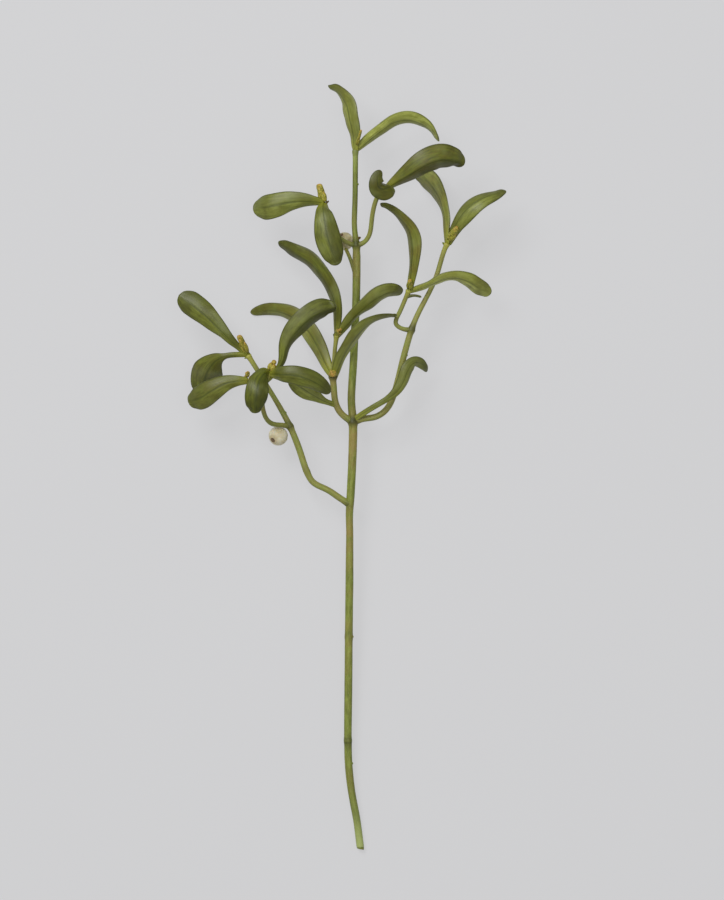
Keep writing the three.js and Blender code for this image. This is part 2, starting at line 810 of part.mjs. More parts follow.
// The origin is the middle of the sprig's footprint, on the table.
const bounds = new THREE.Box3().setFromObject(sprig);
const middle = bounds.getCenter(new THREE.Vector3());
sprig.position.set(-middle.x, -middle.y, -bounds.min.z);

export default sprig;
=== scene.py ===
import math

import bmesh
import bpy
import numpy as np
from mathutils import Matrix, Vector


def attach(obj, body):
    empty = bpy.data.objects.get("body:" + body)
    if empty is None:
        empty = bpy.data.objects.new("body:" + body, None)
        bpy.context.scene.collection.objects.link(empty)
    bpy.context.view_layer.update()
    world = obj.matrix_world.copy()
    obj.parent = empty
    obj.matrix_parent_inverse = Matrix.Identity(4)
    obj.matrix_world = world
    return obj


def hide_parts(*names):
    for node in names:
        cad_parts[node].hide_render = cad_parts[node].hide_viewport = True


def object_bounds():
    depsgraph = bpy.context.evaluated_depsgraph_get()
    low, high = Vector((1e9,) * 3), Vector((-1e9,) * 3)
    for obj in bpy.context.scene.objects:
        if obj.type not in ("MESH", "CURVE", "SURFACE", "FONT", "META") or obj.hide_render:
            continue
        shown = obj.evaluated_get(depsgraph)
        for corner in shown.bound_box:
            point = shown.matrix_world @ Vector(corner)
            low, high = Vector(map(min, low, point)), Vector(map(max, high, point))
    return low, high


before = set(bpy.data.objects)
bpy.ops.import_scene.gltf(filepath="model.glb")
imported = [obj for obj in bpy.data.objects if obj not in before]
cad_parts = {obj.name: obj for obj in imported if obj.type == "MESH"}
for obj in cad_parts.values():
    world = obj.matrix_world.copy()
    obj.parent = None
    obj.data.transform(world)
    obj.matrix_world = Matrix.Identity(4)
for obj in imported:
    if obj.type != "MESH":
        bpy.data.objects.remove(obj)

# A cut sprig of mistletoe, dressed over its frame. Metres, +Z up, the stem's cut end toward -Y.
# Each stem and leaf is read from its frame node as a chain of sections and made again, finer.

cad_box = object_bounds()
MM = 0.001
scene = bpy.context.scene


def placed(name, data):
    """A new object in the scene."""
    thing = bpy.data.objects.new(name, data)
    scene.collection.objects.link(thing)
    return thing


# ---- Node graphs ----
class Wire:
    """A node's output. A sum written with it adds Math nodes."""

    def __init__(self, graph, socket):
        self.graph = graph
        self.socket = socket

    def maths(self, operation, *terms):
        return self.graph.node("ShaderNodeMath", {"operation": operation}, list(terms))

    def __add__(self, other):
        return self.maths("ADD", self, other)

    __radd__ = __add__

    def __sub__(self, other):
        return self.maths("SUBTRACT", self, other)

    def __rsub__(self, other):
        return self.maths("SUBTRACT", other, self)

    def __mul__(self, other):
        return self.maths("MULTIPLY", self, other)

    __rmul__ = __mul__

    def __abs__(self):
        return self.maths("ABSOLUTE", self)

    def least(self, other):
        return self.maths("MINIMUM", self, other)


class Graph:
    """A node tree, made node by node."""

    def __init__(self, tree):
        self.tree = tree

    def node(self, kind, settings=None, inputs=None, output=0):
        """A new node with settings and inputs. Gives back one of its outputs."""
        node = self.tree.nodes.new(kind)
        for key, value in (settings or {}).items():
            setattr(node, key, value)
        pairs = enumerate(inputs) if isinstance(inputs, list) else (inputs or {}).items()
        for key, value in pairs:
            if isinstance(value, Wire):
                self.tree.links.new(value.socket, node.inputs[key])
            else:
                node.inputs[key].default_value = value
        return Wire(self, node.outputs[output])

    def other(self, wire, output):
        """Another output of the node that a wire leaves."""
        return Wire(self, wire.socket.node.outputs[output])

    def parts(self, vector):
        """The three numbers of a vector."""
        x = self.node("ShaderNodeSeparateXYZ", None, [vector])
        return x, self.other(x, 1), self.other(x, 2)

    def vector(self, x, y, z):
        return self.node("ShaderNodeCombineXYZ", None, [x, y, z])

    def rise(self, value, low, high):
        """0 below low, 1 above high, smooth between."""
        settings = {"interpolation_type": "SMOOTHSTEP"}
        return self.node("ShaderNodeMapRange", settings, {0: value, 1: low, 2: high, 3: 0.0, 4: 1.0})

    def noise(self, vector, scale, detail=2.0, roughness=0.5, distortion=0.0):
        inputs = {"Vector": vector, "Scale": scale, "Detail": detail, "Roughness": roughness}
        inputs["Distortion"] = distortion
        return self.node("ShaderNodeTexNoise", None, inputs)

    def blend(self, share, below, above):
        """One colour below, another above, by a share."""
        return self.node("ShaderNodeMix", {"data_type": "RGBA"}, {0: share, 6: below, 7: above}, 2)


class Finish(Graph):
    """A material made of nodes round one Principled shader."""

    def __init__(self, name, **constants):
        self.material = bpy.data.materials.new(name)
        self.material.use_nodes = True
        super().__init__(self.material.node_tree)
        self.shader = self.tree.nodes["Principled BSDF"]
        for key, value in constants.items():
            self.shader.inputs[key.replace("_", " ")].default_value = value

    def mark(self, name):
        """A number kept on the piece's points."""
        return self.node("ShaderNodeAttribute", {"attribute_name": name}, None, 2)

    def marks(self, name):
        """The three numbers of a vector kept on the piece's points."""
        return self.parts(self.node("ShaderNodeAttribute", {"attribute_name": name}, None, 1))

    def place(self):
        """Where a point is on the sprig."""
        return self.node("ShaderNodeTexCoord", None, None, 3)

    def coat(self, share, *colour):
        """Lays a colour of 0 to 255 over the body colour, by a share."""
        self.body = self.blend(share, self.body, srgb(*colour))

    def feed(self, name, wire):
        self.tree.links.new(wire.socket, self.shader.inputs[name])

    def relief(self, height, distance, strength):
        inputs = {"Height": height, "Distance": distance, "Strength": strength}
        self.feed("Normal", self.node("ShaderNodeBump", None, inputs))


class Recipe(Graph):
    """A geometry node tree with named inputs."""

    def __init__(self, name, **inputs):
        super().__init__(bpy.data.node_groups.new(name, "GeometryNodeTree"))
        self.face = self.tree.interface
        self.entry = {}
        self.socket("Geometry", "Geometry")
        for key, kind in inputs.items():
            self.socket(key, kind)
        self.face.new_socket(name="Geometry", in_out="OUTPUT", socket_type="NodeSocketGeometry")
        self.start = self.tree.nodes.new("NodeGroupInput")

    def socket(self, name, kind):
        made = self.face.new_socket(name=name, in_out="INPUT", socket_type="NodeSocket" + kind)
        self.entry[name] = made.identifier

    def given(self, name):
        return Wire(self, self.start.outputs[name])

    def named(self, name, kind="FLOAT"):
        return self.node("GeometryNodeInputNamedAttribute", {"data_type": kind}, {"Name": name})

    def close(self, geometry):
        geometry = self.node("GeometryNodeSetShadeSmooth", None, {"Geometry": geometry})
        geometry = self.node("GeometryNodeRealizeInstances", None, {"Geometry": geometry})
        inputs = {"Geometry": geometry, "Material": self.given("Material")}
        geometry = self.node("GeometryNodeSetMaterial", None, inputs)
        end = self.tree.nodes.new("NodeGroupOutput")
        self.tree.links.new(geometry.socket, end.inputs[0])

    def make(self, name, source, **values):
        """The plain mesh object that this recipe gives for a source mesh."""
        holder = placed(name + "_source", source)
        modifier = holder.modifiers.new("recipe", "NODES")
        modifier.node_group = self.tree
        for key, value in values.items():
            modifier[self.entry[key]] = value
        bpy.context.view_layer.update()
        ready = holder.evaluated_get(bpy.context.evaluated_depsgraph_get())
        mesh = bpy.data.meshes.new_from_object(ready)
        mesh.name = name
        holder.modifiers.remove(modifier)
        bpy.data.objects.remove(holder)
        return placed(name, mesh)


def srgb(red, green, blue):
    """A colour given as 0 to 255, as the linear colour that a socket takes."""
    channels = []
    for part in (red / 255, green / 255, blue / 255):
        channels.append(part / 12.92 if part <= 0.04045 else ((part + 0.055) / 1.055) ** 2.4)
    return (*channels, 1.0)


# ---- Reading the frame ----
DOUBLES_APART = 0.002 * MM
# Corners of a stem's or leaf's section, and of a berry's rings.
SECTION_CORNERS = 8
BERRY_CORNERS = 16


def joined_node(name):
    """A frame node's mesh with its doubles merged. The node itself is left alone."""
    mesh = bmesh.new()
    mesh.from_mesh(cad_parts[name].data)
    bmesh.ops.remove_doubles(mesh, verts=mesh.verts, dist=DOUBLES_APART)
    return mesh


def corners_of(mesh):
    return np.array([corner.co for corner in mesh.verts])


def rings_from(end):
    """The loops of corners round a node, one after another, from the middle of an end cap."""
    seen = {end}
    front = [end]
    rings = []
    while True:
        ahead = []
        for corner in front:
            for edge in corner.link_edges:
                beside = edge.other_vert(corner)
                if beside not in seen:
                    seen.add(beside)
                    ahead.append(beside)
        if len(ahead) != SECTION_CORNERS:
            return rings
        rings.append(ahead)
        front = ahead


def in_order(ring):
    """The places of a ring's corners in their order round it."""
    members = set(ring)
    order = [ring[0]]
    while len(order) < len(ring):
        beside = [e.other_vert(order[-1]) for e in order[-1].link_edges]
        following = [v for v in beside if v in members and v not in order]
        if not following:
            return None
        order.append(following[0])
    return np.array([v.co for v in order])


def aligned(ring, before):
    """A ring turned so that each corner matches the one before it."""
    best, least = ring, None
    for loop in (ring, ring[::-1]):
        for turn in range(len(loop)):
            turned = np.roll(loop, turn, axis=0)
            shift = turned.mean(axis=0) - before.mean(axis=0)
            misfit = ((turned - shift - before) ** 2).sum()
            if least is None or misfit < least:
                best, least = turned, misfit
    return best


def sections(name):
    """The middle of a node's free end and its sections from there inward."""
    mesh = joined_node(name)
    best, tip = [], None
    for corner in mesh.verts:
        if len(corner.link_edges) == SECTION_CORNERS:
            rings = rings_from(corner)
            if len(rings) > len(best):
                best, tip = rings, np.array(corner.co)
    loops = []
    for ring in best:
        loop = in_order(ring)
        if loop is None:
            break
        loops.append(aligned(loop, loops[-1]) if loops else loop)
    mesh.free()
    return tip, np.array(loops)


# ---- Curves ----
UP = np.array((0.0, 0.0, 1.0))


def unit(vectors):
    return vectors / np.linalg.norm(vectors, axis=-1, keepdims=True)


def sideways(way):
    """The level direction across a way."""
    return unit(np.cross(way, UP))


def lengths_along(points):
    """Each point's distance along a line from its first point."""
    steps = np.linalg.norm(np.diff(points, axis=0), axis=1)
    return np.concatenate([[0.0], np.cumsum(steps)])


def smooth(knots, values, places):
    """A natural cubic spline through values at knots, read at places."""
    values = np.asarray(values, float)
    flat = values.reshape(len(values), -1)
    count = len(knots)
    gaps = np.diff(knots)
    matrix = np.eye(count)
    right = np.zeros_like(flat)
    slopes = np.diff(flat, axis=0) / gaps[:, None]
    for row in range(1, count - 1):
        matrix[row, row - 1: row + 2] = (gaps[row - 1], 2 * (gaps[row - 1] + gaps[row]), gaps[row])
        right[row] = 6 * (slopes[row] - slopes[row - 1])
    bends = np.linalg.solve(matrix, right)
    index = np.clip(np.searchsorted(knots, places, side="right") - 1, 0, count - 2)
    gap = gaps[index][:, None]
    before = (places - knots[index])[:, None] / gap
    after = 1 - before
    result = after * flat[index] + before * flat[index + 1]
    result += ((after ** 3 - after) * bends[index] + (before ** 3 - before) * bends[index + 1]) * gap ** 2 / 6
    return result.reshape((len(places),) + values.shape[1:])


def eased(knots, values, places):
    """Values between knots with no overshoot, flat at each peak."""
    values = np.asarray(values, float)
    slopes = np.diff(values) / np.diff(knots)
    tangents = np.concatenate([[slopes[0]], (slopes[1:] + slopes[:-1]) / 2, [slopes[-1]]])
    for row in range(1, len(values) - 1):
        if slopes[row - 1] * slopes[row] <= 0:
            tangents[row] = 0
        else:
            limit = 3 * min(abs(slopes[row - 1]), abs(slopes[row]))
            tangents[row] = np.clip(tangents[row], -limit, limit)
    index = np.clip(np.searchsorted(knots, places, side="right") - 1, 0, len(knots) - 2)
    gap = np.diff(knots)[index]
    share = np.clip((places - knots[index]) / gap, 0, 1)
    square, cube = share ** 2, share ** 3
    result = (2 * cube - 3 * square + 1) * values[index] + (3 * square - 2 * cube) * values[index + 1]
    result += ((cube - 2 * square + share) * tangents[index] + (cube - square) * tangents[index + 1]) * gap
    return result


def bump(distance, reach):
    """1 at no distance, falling to nothing some two reaches away."""
    return np.exp(-((distance / reach) ** 2))


def stretches(table, share):
    """The strongest mark at each share of a length, from a table of place, reach and strength."""
    return np.max([strength * bump(share - place, reach) for place, reach, strength in table], axis=0)


# ---- Making pieces ----
def marked_mesh(name, points, edges, faces, marks):
    """A mesh whose points keep named numbers or vectors."""
    mesh = bpy.data.meshes.new(name)
    mesh.from_pydata([tuple(p) for p in points], edges, faces)
    for key, values in marks.items():
        values = np.asarray(values, float)
        kind, field = ("FLOAT", "value") if values.ndim == 1 else ("FLOAT_VECTOR", "vector")
        mesh.attributes.new(key, kind, "POINT").data.foreach_set(field, values.ravel())
    return mesh


def piece_from(name, points, faces, material, **marks):
    mesh = marked_mesh(name, points, [], faces, marks)
    mesh.shade_smooth()
    mesh.materials.append(material)
    return placed(name, mesh)


def tube_faces(rows, columns):
    """Faces of a closed tube of loops, with a fan to one more point at each end."""
    faces = []
    for row in range(rows - 1):
        for column in range(columns):
            beside = (column + 1) % columns
            low, high = row * columns, (row + 1) * columns
            faces.append((low + column, low + beside, high + beside, high + column))
    first, last = rows * columns, rows * columns + 1
    top = (rows - 1) * columns
    for column in range(columns):
        beside = (column + 1) % columns
        faces.append((beside, column, first))
        faces.append((top + column, top + beside, last))
    return faces


def facing_out(piece):
    mesh = bmesh.new()
    mesh.from_mesh(piece.data)
    bmesh.ops.recalc_face_normals(mesh, faces=mesh.faces)
    mesh.to_mesh(piece.data)
    mesh.free()


def dress(piece, slot, *nodes):
    """The piece rides on the sprig and stands for frame nodes. slot is not used."""
    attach(piece, "root")
    if nodes:
        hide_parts(*nodes)


# ---- Finishes ----
def leaf_finish():
    """Leathery blade: mottled streaks, a yellow foot, a dark tip, painted shade at the crease, on one half
    and the rim, painted grey sheen.
    """
    paint = Finish("leaf", Specular_IOR_Level=0.38)
    across, along, chance = paint.marks("blade")
    upper, tone, warmth = map(paint.mark, ("upper", "tone", "warmth"))
    place = paint.place()
    warp = paint.vector(across * 3.2, along * 3.0, chance * 31.0)
    streaks = paint.noise(warp, 1.5, 4.0, 0.6, 0.7)
    fine = paint.noise(paint.vector(across * 15.0, along * 7.0, chance * 11.0), 1.5, 4.0, 0.65, 0.3)
    blotch = paint.noise(place, 150.0, 4.0, 0.6, 0.4)
    # Patches of painted grey sheen.
    painted_sheen = paint.noise(place, 95.0, 2.0, 0.5)
    pores = paint.noise(place, 2300.0, 2.0, 0.6)
    wander = across + (streaks - 0.5) * 0.16
    # Painted shade along the midrib crease and in its groove.
    crease_shade = (1 - paint.rise(abs(wander), 0.0, 0.16)) * paint.rise(along, 1.0, 0.72)
    groove = (1 - paint.rise(abs(wander), 0.0, 0.05)) * paint.rise(along, 0.95, 0.6)
    # Painted shade: one half of the blade is darker.
    turned = paint.rise(wander, -0.3, 0.3)
    foot = 1 - paint.rise(along + (fine - 0.5) * 0.12, 0.02, 0.22)
    tip = paint.rise(along + (blotch - 0.5) * 0.5, 0.62, 1.05)
    # The blade's margin is darkened: painted shade at the rim.
    rim = paint.rise(abs(across) + (fine - 0.5) * 0.1, 0.86, 1.0)

    dark = paint.blend(tone, srgb(44, 51, 2), srgb(134, 141, 52))
    light = paint.blend(tone, srgb(94, 102, 12), srgb(214, 222, 120))
    body = paint.blend(paint.rise(streaks, 0.2, 0.8), dark, light)
    body = paint.blend(0.55 * paint.rise(blotch, 0.44, 0.66), body, dark)
    body = paint.blend(0.38 * paint.rise(fine, 0.42, 0.66), body, light)
    # Painted shade on one half of the blade.
    paint.body = paint.blend(0.55 * turned, body, dark)
    # Painted grey sheen in patches.
    paint.coat(0.26 * paint.rise(painted_sheen, 0.5, 0.72), 142, 150, 98)
    paint.coat(warmth * paint.rise(fine + blotch, 0.8, 1.2), 124, 106, 38)
    paint.coat(0.5 * tip, 50, 52, 14)
    paint.coat(0.6 * foot, 146, 148, 46)
    # Painted shade in the crease and the midrib groove.
    paint.coat(0.5 * crease_shade, 50, 60, 12)
    paint.coat(0.25 * groove, 38, 46, 10)
    # Painted shade along the rim.
    paint.coat(0.6 * rim, 54, 58, 16)
    paint.coat(0.25 * (1 - upper), 108, 114, 54)
    paint.feed("Base Color", paint.body)
    paint.feed("Roughness", 0.34 + 0.2 * fine + 0.1 * (1 - upper))
    paint.relief(0.5 * streaks + 0.35 * fine + 0.12 * pores - 0.35 * groove, 0.16 * MM, 0.6)
    return paint.material


def stem_finish():
    """Green bark: uneven olive and brown stretches, pale breathing spots, dark joints, yellow young ends, and
    painted shade past joints, at roots and at forks.
    """
    paint = Finish("green bark", Specular_IOR_Level=0.36)
    cosine, sine, _ = paint.marks("round")
    along, joint, shade_and_dark_bark = map(paint.mark, ("along", "joint", "shade_and_dark_bark"))
    tender, pale, brown = map(paint.mark, ("tender", "pale", "brown"))
    place = paint.place()
    long_way = paint.vector(cosine * 0.9, sine * 0.9, along * 75.0)
    streaks = paint.noise(long_way, 1.6, 4.0, 0.62, 0.5)
    fine = paint.noise(paint.vector(cosine * 3.2, sine * 3.2, along * 260.0), 1.6, 3.0, 0.62)
    stretch = paint.noise(place, 42.0, 3.0, 0.55)
    blotch = paint.noise(place, 260.0, 3.0, 0.6)
    spots = paint.node(
        "ShaderNodeTexVoronoi", None,
        {"Vector": paint.vector(cosine * 1.4, sine * 1.4, along * 520.0), "Scale": 0.7, "Randomness": 1.0})
    spot = 1 - paint.rise(spots, 0.04, 0.2)
    paint.body = paint.blend(paint.rise(streaks, 0.25, 0.78), srgb(92, 104, 30), srgb(140, 152, 66))
    paint.coat(0.3 * paint.rise(blotch, 0.45, 0.66), 96, 92, 38)
    rust = (brown + 0.45 * paint.rise(stretch, 0.5, 0.7)).least(1.0) * paint.rise(blotch, 0.2, 0.6)
    paint.coat(0.75 * rust, 146, 124, 68)
    paint.coat(0.2 * paint.rise(fine, 0.45, 0.68), 172, 168, 100)
    paint.coat(0.35 * spot, 178, 168, 112)
    paint.coat(0.6 * tender, 170, 164, 62)
    paint.coat(0.75 * pale, 172, 184, 116)
    # Darker by one mark: painted shade past joints, at roots and forks, and darker bark on some stretches and
    # the right stub.
    paint.coat(0.85 * shade_and_dark_bark, 44, 48, 12)
    dirt = paint.rise(joint + (fine - 0.5) * 0.8, 0.5, 1.0)
    paint.coat(0.6 * dirt, 54, 46, 18)
    paint.feed("Base Color", paint.body)
    paint.feed("Roughness", 0.42 + 0.2 * fine)
    paint.relief(0.4 * fine + 0.3 * spot + 0.4 * streaks, 0.12 * MM, 0.5)
    return paint.material


def cut_finish():
    """Pale fresh wood with a darker pith and a green ring of bark."""
    paint = Finish("cut wood", Specular_IOR_Level=0.25, Roughness=0.7)
    radius = paint.mark("radius")
    grain = paint.noise(paint.place(), 2400.0, 3.0, 0.6)
    paint.body = paint.blend(paint.rise(grain, 0.35, 0.7), srgb(176, 162, 108), srgb(206, 196, 148))
    paint.coat(1 - paint.rise(radius, 0.08, 0.2), 132, 116, 66)
    paint.coat(paint.rise(radius, 0.8, 0.93), 116, 122, 52)
    paint.feed("Base Color", paint.body)
    paint.relief(grain, 0.08 * MM, 0.7)
    return paint.material


def bud_finish():
    """Yellow-green scales that turn orange at their tips."""
    glow = {"Subsurface_Weight": 0.12, "Subsurface_Scale": 0.6 * MM, "Subsurface_Radius": (1.0, 0.8, 0.3)}
    paint = Finish("bud scale", Specular_IOR_Level=0.3, **glow)
    tip, warm = map(paint.mark, ("tip", "warm"))
    grain = paint.noise(paint.place(), 1500.0, 3.0, 0.55)
    paint.body = paint.blend(paint.rise(grain, 0.35, 0.68), srgb(112, 114, 32), srgb(176, 172, 72))
    paint.coat(warm, 182, 140, 60)
    paint.coat(0.5 * (1 - paint.rise(tip, 0.0, 0.3)), 84, 80, 28)
    worn = (0.4 + 0.6 * warm) * paint.rise(tip + (grain - 0.5) * 0.5, 0.7, 1.0)
    paint.coat(worn, 182, 122, 66)
    paint.feed("Base Color", paint.body)
    paint.feed("Roughness", 0.42 + 0.2 * grain)
    paint.relief(grain, 0.07 * MM, 0.6)
    return paint.material


def berry_finish(name, pale, deep):
    """Waxy, slightly clear skin, clouded and specked, with a brown scar in a tan halo."""
    glow = {"Subsurface_Weight": 0.45, "Subsurface_Scale": 2.2 * MM, "Subsurface_Radius": (1.0, 0.85, 0.55)}
    paint = Finish(name, Specular_IOR_Level=0.4, **glow)
    scar = paint.mark("scar")
    place = paint.place()
    cloud = paint.noise(place, 260.0, 3.0, 0.55)
    speck = paint.noise(place, 1700.0, 2.0, 0.6)
    paint.body = paint.blend(paint.rise(cloud, 0.35, 0.68), deep, pale)
    paint.coat(0.5 * paint.rise(speck, 0.62, 0.74), 150, 132, 92)
    halo = 1 - paint.rise(scar, 1.0, 2.1)
    paint.coat(0.35 * halo, 166, 138, 82)
    mark = 1 - paint.rise(scar + (speck - 0.5) * 0.3, 0.82, 1.04)
    paint.coat(0.88 * mark, 92, 66, 34)
    paint.feed("Base Color", paint.body)
    paint.feed("Roughness", 0.26 + 0.18 * cloud + 0.3 * mark)
    paint.relief(0.5 * speck + 0.5 * mark * speck, 0.06 * MM, 0.5)
    return paint.material


def dry_finish():
    """Dead brown scales at the joints."""
    paint = Finish("dry scale", Specular_IOR_Level=0.2)
    grain = paint.noise(paint.place(), 1900.0, 3.0, 0.6)
    paint.feed("Base Color", paint.blend(paint.rise(grain, 0.35, 0.7), srgb(58, 46, 26), srgb(104, 86, 48)))
    paint.feed("Roughness", 0.6 + 0.2 * grain)
    paint.relief(grain, 0.1 * MM, 0.8)
    return paint.material


LEAF = leaf_finish()
BARK = stem_finish()
CUT = cut_finish()
SCALE = bud_finish()
DRY = dry_finish()
BERRY_PALE = berry_finish("berry skin", srgb(226, 220, 192), srgb(202, 192, 156))
# The top berry's skin: the same skin in darker colours, painted shade.
BERRY_SHADED = berry_finish("shaded berry skin", srgb(208, 200, 162), srgb(176, 164, 124))


# ---- Recipes ----
def stem_recipe():
    """A tube along a path. thick is its radius. Fine lines run along it."""
    recipe = Recipe("stem skin", Sides="Int", Wrinkle="Float", Material="Material")
    curve = recipe.node("GeometryNodeMeshToCurve", None, {"Mesh": recipe.given("Geometry")})
    circle = recipe.node("GeometryNodeCurvePrimitiveCircle", None, {"Resolution": recipe.given("Sides")})
    settings = {"data_type": "FLOAT_VECTOR", "domain": "POINT"}
    inputs = {"Geometry": circle, "Name": "round", "Value": recipe.node("GeometryNodeInputPosition")}
    circle = recipe.node("GeometryNodeStoreNamedAttribute", settings, inputs)
    inputs = {"Curve": curve, "Profile Curve": circle, "Scale": recipe.named("thick"), "Fill Caps": True}
    tube = recipe.node("GeometryNodeCurveToMesh", None, inputs)
    cosine, sine, _ = recipe.parts(recipe.named("round", "FLOAT_VECTOR"))
    way = recipe.vector(cosine * 2.6, sine * 2.6, recipe.named("along") * 60.0)
    height = (recipe.noise(way, 1.5, 2.0) - 0.5) * recipe.given("Wrinkle")
    normal = recipe.node("GeometryNodeInputNormal")
    settings = {"operation": "SCALE"}
    offset = recipe.node("ShaderNodeVectorMath", settings, {0: normal, "Scale": height})
    recipe.close(recipe.node("GeometryNodeSetPosition", None, {"Geometry": tube, "Offset": offset}))
    return recipe


def set_recipe():
    """A shape set on every point: aim is its length's way, turn its angle about that, size its scale."""
    recipe = Recipe("set shapes", Shape="Object", Material="Material")
    given = {0: recipe.given("Shape")}
    shape = recipe.node("GeometryNodeObjectInfo", {"transform_space": "ORIGINAL"}, given, 4)
    axis = {"axis": "Z", "pivot_axis": "AUTO"}
    aim = recipe.named("aim", "FLOAT_VECTOR")
    rotation = recipe.node("FunctionNodeAlignRotationToVector", axis, {"Vector": aim})
    about = {"Axis": (0, 0, 1), "Angle": recipe.named("turn")}
    spin = recipe.node("FunctionNodeAxisAngleToRotation", None, about)
    settings = {"rotation_space": "LOCAL"}
    rotation = recipe.node("FunctionNodeRotateRotation", settings, [rotation, spin])
    points = recipe.node("GeometryNodeMeshToPoints", None, {"Mesh": recipe.given("Geometry")})
    size = recipe.named("size", "FLOAT_VECTOR")
    inputs = {"Points": points, "Instance": shape, "Rotation": rotation, "Scale": size}
    recipe.close(recipe.node("GeometryNodeInstanceOnPoints", None, inputs))
    return recipe


STEM_SKIN = stem_recipe()
SET_SHAPES = set_recipe()


# ---- Stems ----
node_names = sorted(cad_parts)
leaf_names = [name for name in node_names if "leaf" in name]
bud_names = [name for name in node_names if name.startswith("buds")]
berry_names = ["berry_left", "berry_top"]
stem_names = [name for name in node_names if name not in leaf_names + bud_names + berry_names]

# How far apart a stem's points are, and the fewest it has.
STEM_STEP, FEWEST_POINTS = 0.6 * MM, 12
# The bark's radius over that of the frame's flat-sided sections, and how deep its wrinkles are.
STEM_FULLNESS = 1.05
WRINKLE = 0.2 * MM
STEM_SIDES, BRANCH_SIDES = 32, 24
# A free end rounds off over this length.
END_ROUND = 0.7 * MM
# A joint swells this much above the stem this far from it, and has a fine ring pressed in.
JOINT_RISE, JOINT_REACH = 0.15 * MM, 3.0 * MM
RING_DEPTH, RING_REACH = 0.06 * MM, 0.3 * MM
# How far and in how many tries a line is run on to find its host.
ROOT_RUN, ROOT_TRIES = 9 * MM, 37
# A joint this near takes the root. Elsewhere it lies this many radii down its host.
ROOT_REACH, ROOT_DROP = 6 * MM, 1.2
# How much a stem flares, how far from its root, and over what reach.
FLARE, FLARE_PLACE, FLARE_REACH = 0.25 * MM, 0.6 * MM, 2.0 * MM
# A branch's free end is young and yellow over this reach.
TENDER_REACH = 4.5 * MM
# Dirt lies in a joint's ring. Painted shade lies on a stretch just past it, at roots and at forks.
DIRT_REACH = 0.5 * MM
SHADE_SHIFT, SHADE_REACH = 1.0 * MM, 2.2 * MM
ROOT_SHADE, ROOT_SHADE_REACH = 0.7, 2.8 * MM
FORK_SHADE, FORK_SHADE_REACH = 0.2, 2.0 * MM
# The main stem is pale at its cut end and its tip, and a branch is a little pale and brown all along.
CUT_PALE_REACH, TIP_PALE_REACH = 14 * MM, 6 * MM
BRANCH_PALE, BRANCH_BROWN = 0.12, 0.45


def centre_line(name):
    """A stem's middle points and radii from its free end inward."""
    loops = sections(name)[1]
    middles = loops.mean(axis=1)
    radii = np.linalg.norm(loops - middles[:, None], axis=2).mean(axis=1)
    return middles, radii


lines = {name: centre_line(name) for name in stem_names}


def from_root(name):
    """A stem's middle points and radii from its root, or from the main stem's cut end, outward."""
    middles, radii = lines[name]
    return middles[::-1], radii[::-1]


def nearest_on_stems(place, skip=()):
    """The gap to the nearest stem's middle line, the spot on it, the stem's radius there and its name."""
    best = None
    for name, (middles, radii) in lines.items():
        if name in skip:
            continue
        for start, end, thick in zip(middles[:-1], middles[1:], radii[:-1]):
            run = end - start
            share = np.clip(np.dot(place - start, run) / np.dot(run, run), 0, 1)
            spot = start + share * run
            away = np.linalg.norm(place - spot)
            if best is None or away < best[0]:
                best = (away, spot, thick, name)
    return best


def joined_at(place, onward, skip):
    """Where a line run on from a place comes nearest to a stem: the spot, the stem's radius and its name."""
    tries = [nearest_on_stems(place + onward * run, skip) for run in np.linspace(0, ROOT_RUN, ROOT_TRIES)]
    return min(tries, key=lambda found: found[0])[1:]


def joints_of(knots, radii):
    """Where a stem swells above its own line, with how much."""
    found = []
    for index in range(1, len(radii) - 1):
        before, after = np.interp((knots[index] - JOINT_REACH, knots[index] + JOINT_REACH), knots, radii)
        rise = radii[index] - 0.5 * (before + after)
        if radii[index] >= radii[index - 1: index + 2].max() and rise > JOINT_RISE:
            found.append((knots[index], rise))
    return found


def root_of(name):
    """Where a stem's middle line meets its host: at a joint close by, or else a little way down the host."""
    middles = lines[name][0]
    spot, radius, host = joined_at(middles[-1], unit(middles[-1] - middles[-2]), (name, "right_stub"))
    line, radii = from_root(host)
    knots = lengths_along(line)
    joints = [smooth(knots, line, np.array([place]))[0] for place, _ in joints_of(knots, radii)]
    near = [joint for joint in joints if np.linalg.norm(joint - spot) < ROOT_REACH]
    if near:
        spot = min(near, key=lambda joint: np.linalg.norm(joint - spot))
    else:
        place = knots[np.argmin(np.linalg.norm(line - spot, axis=1))]
        spot = smooth(knots, line, np.array([max(0.0, place - ROOT_DROP * radius)]))[0]
    return spot, host


roots = {name: root_of(name) for name in stem_names if name != "main_stem"}


